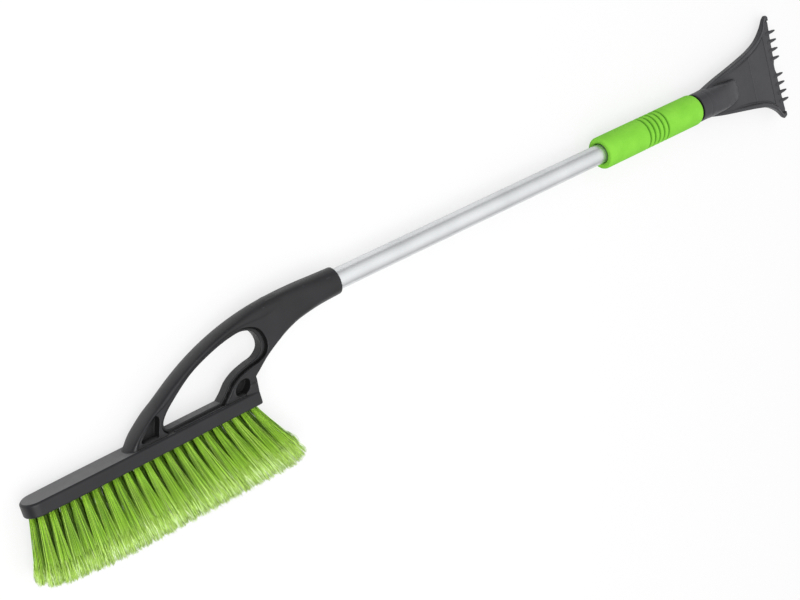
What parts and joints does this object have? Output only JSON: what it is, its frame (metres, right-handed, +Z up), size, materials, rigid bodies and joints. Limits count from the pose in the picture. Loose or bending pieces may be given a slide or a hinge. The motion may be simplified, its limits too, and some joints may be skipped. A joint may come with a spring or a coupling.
{
  "type": "snow brush scraper",
  "caption": "Long-handled snow brush: bristle block with a loop handle, metal tube with a foam grip, and a toothed ice scraper blade at the far end.",
  "frame": {"origin": "on the floor, under the middle of the part's bounding box", "axes": "+X along the tube from the brush to the scraper, +Y away from the bristles, +Z up, with the brush lying on its side"},
  "size_m": [0.9328, 0.1844, 0.0441],
  "materials": {
    "black_plastic": "satin moulded polypropylene with a fine grain",
    "green_bristle": "soft flagged filament, paler at the tips",
    "aluminium_tube": "satin drawn tube",
    "green_foam": "matt closed-cell foam",
    "screw_steel": "zinc-plated pan head"
  },
  "bodies": {
    "root": {"brush_handle": "black_plastic", "bristles_1": "green_bristle", "bristles_2": "green_bristle", "bristles_3": "green_bristle", "bristles_4": "green_bristle", "tube": "aluminium_tube", "foam_grip": "green_foam", "scraper_head": "black_plastic", "socket_screw": "screw_steel", "neck_screw": "screw_steel"}
  },
  "joints": []
}
